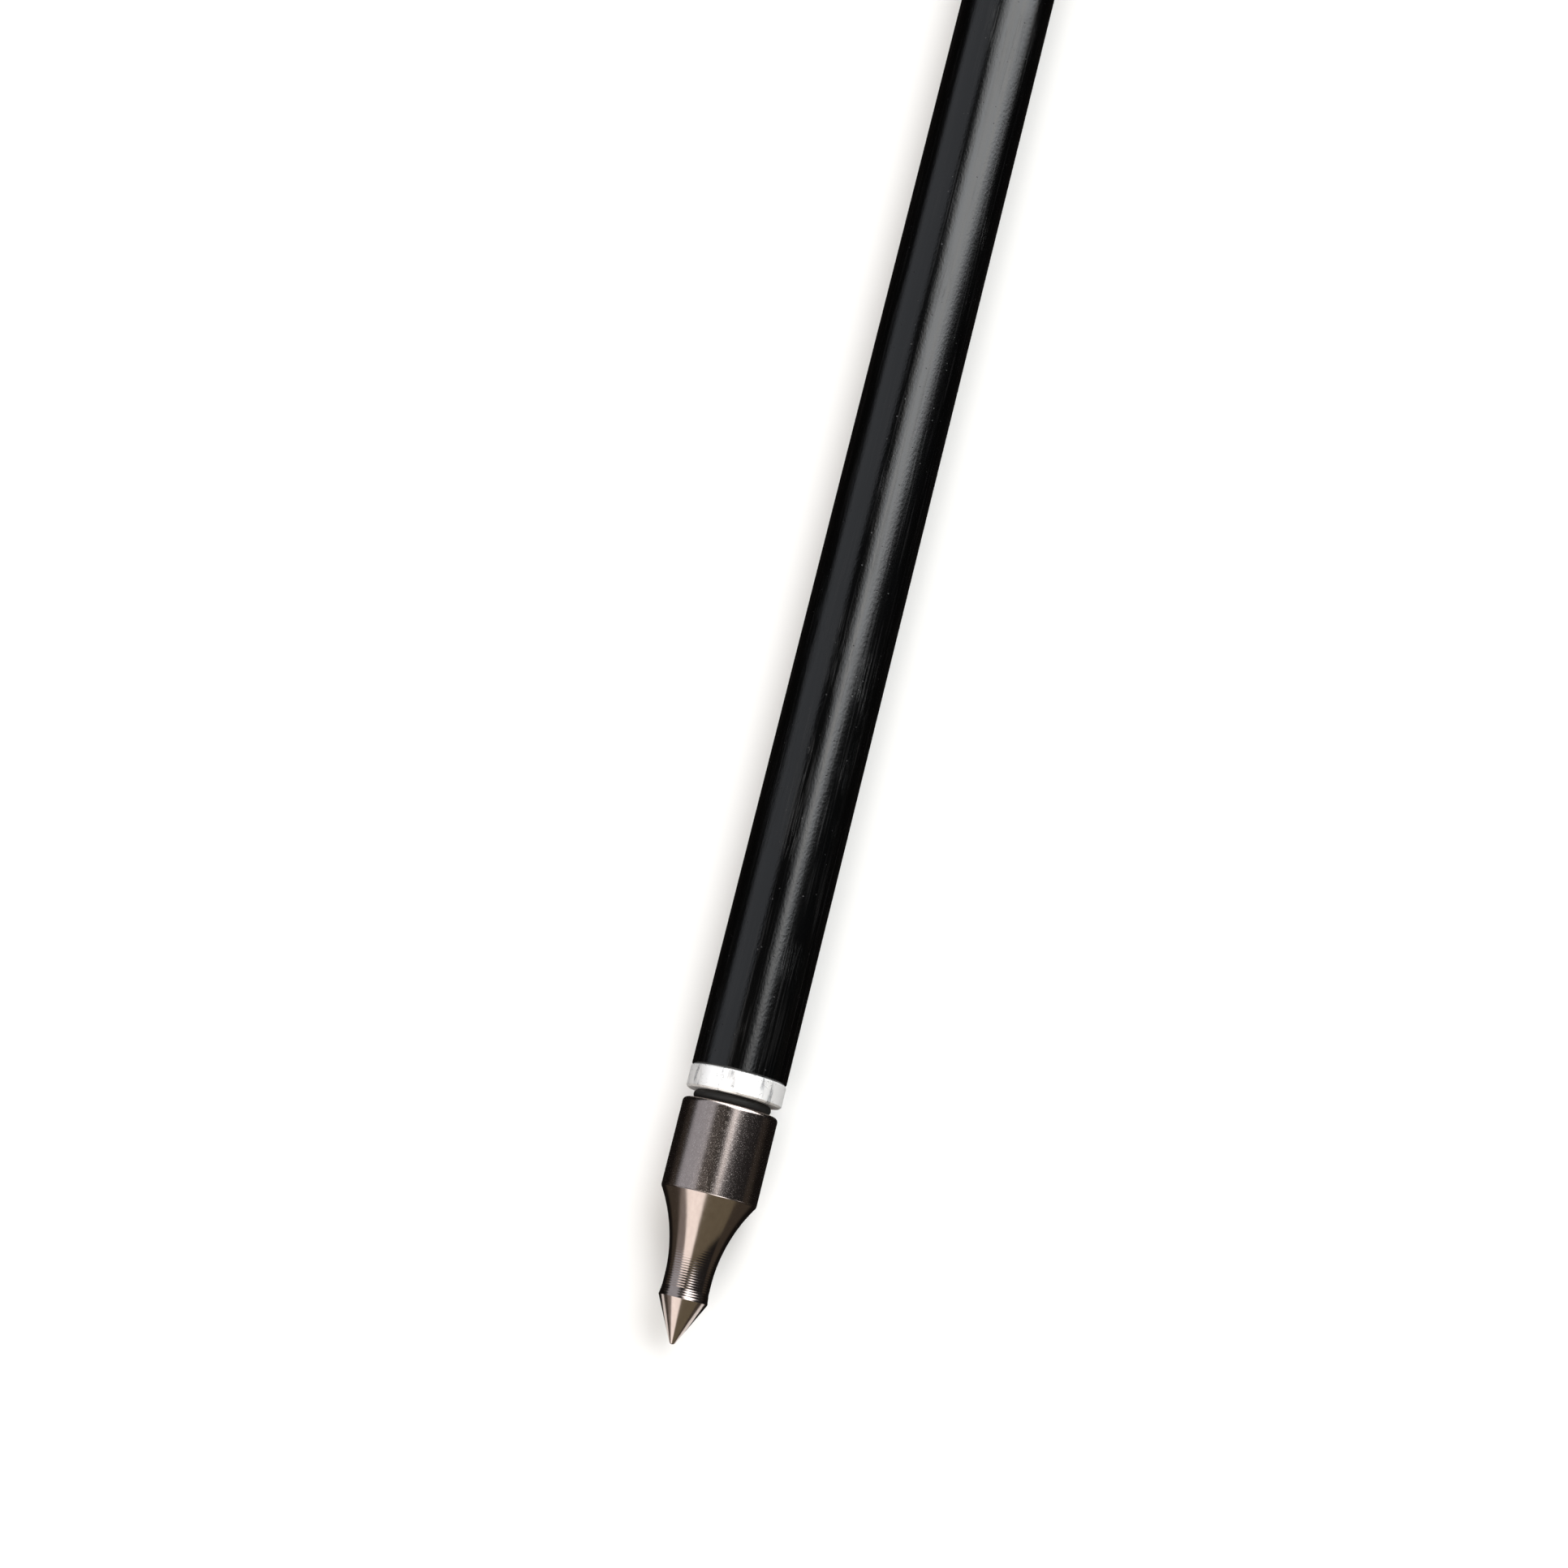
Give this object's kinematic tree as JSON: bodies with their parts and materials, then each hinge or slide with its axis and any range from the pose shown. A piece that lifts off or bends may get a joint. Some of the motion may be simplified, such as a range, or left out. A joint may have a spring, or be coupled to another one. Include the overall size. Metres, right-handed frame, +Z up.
{
  "type": "driveway marker",
  "caption": "Slim black rod marker with a screw-in steel ground point, aluminium insert, rubber seal ring, reflective bands near the top and a plastic end plug.",
  "frame": {"origin": "centre of the tube's lower end, on the marker's axis", "axes": "the marker lies along X as it is stored: the point is towards -X and the top end towards +X; +Z is up"},
  "size_m": [0.7872, 0.0082, 0.0082],
  "materials": {
    "tube": "glossy black resin over glass fibre, with faint lengthwise fibre lines",
    "insert": "bright turned",
    "adhesive": "cured glue",
    "seal": "matt",
    "point": "turned steel with a dark nickel plating",
    "reflective_tape": "silver-white retroreflective tape",
    "plug": "moulded, fine matt texture"
  },
  "bodies": {
    "rod": {"tube": "tube", "insert": "insert", "insert_adhesive": "adhesive", "reflective_band_lower": "reflective_tape", "reflective_band_upper": "reflective_tape", "top_plug": "plug"},
    "seal": {"o_ring": "seal"},
    "screw_point": {"point": "point"}
  },
  "joints": [
    {"name": "point_travel", "type": "slide", "parent": "rod", "child": "seal", "axis": [-1, 0, 0], "range_m": [0, 0.00794]},
    {"name": "point_turn", "type": "hinge", "parent": "seal", "child": "screw_point", "pos_m": [0, 0, 0], "axis": [-1, 0, 0], "range_deg": [0, 3600]}
  ],
  "couplings": [
    {"joint": "point_travel", "follows": "point_turn", "m_per_rad": 0.00012633}
  ]
}
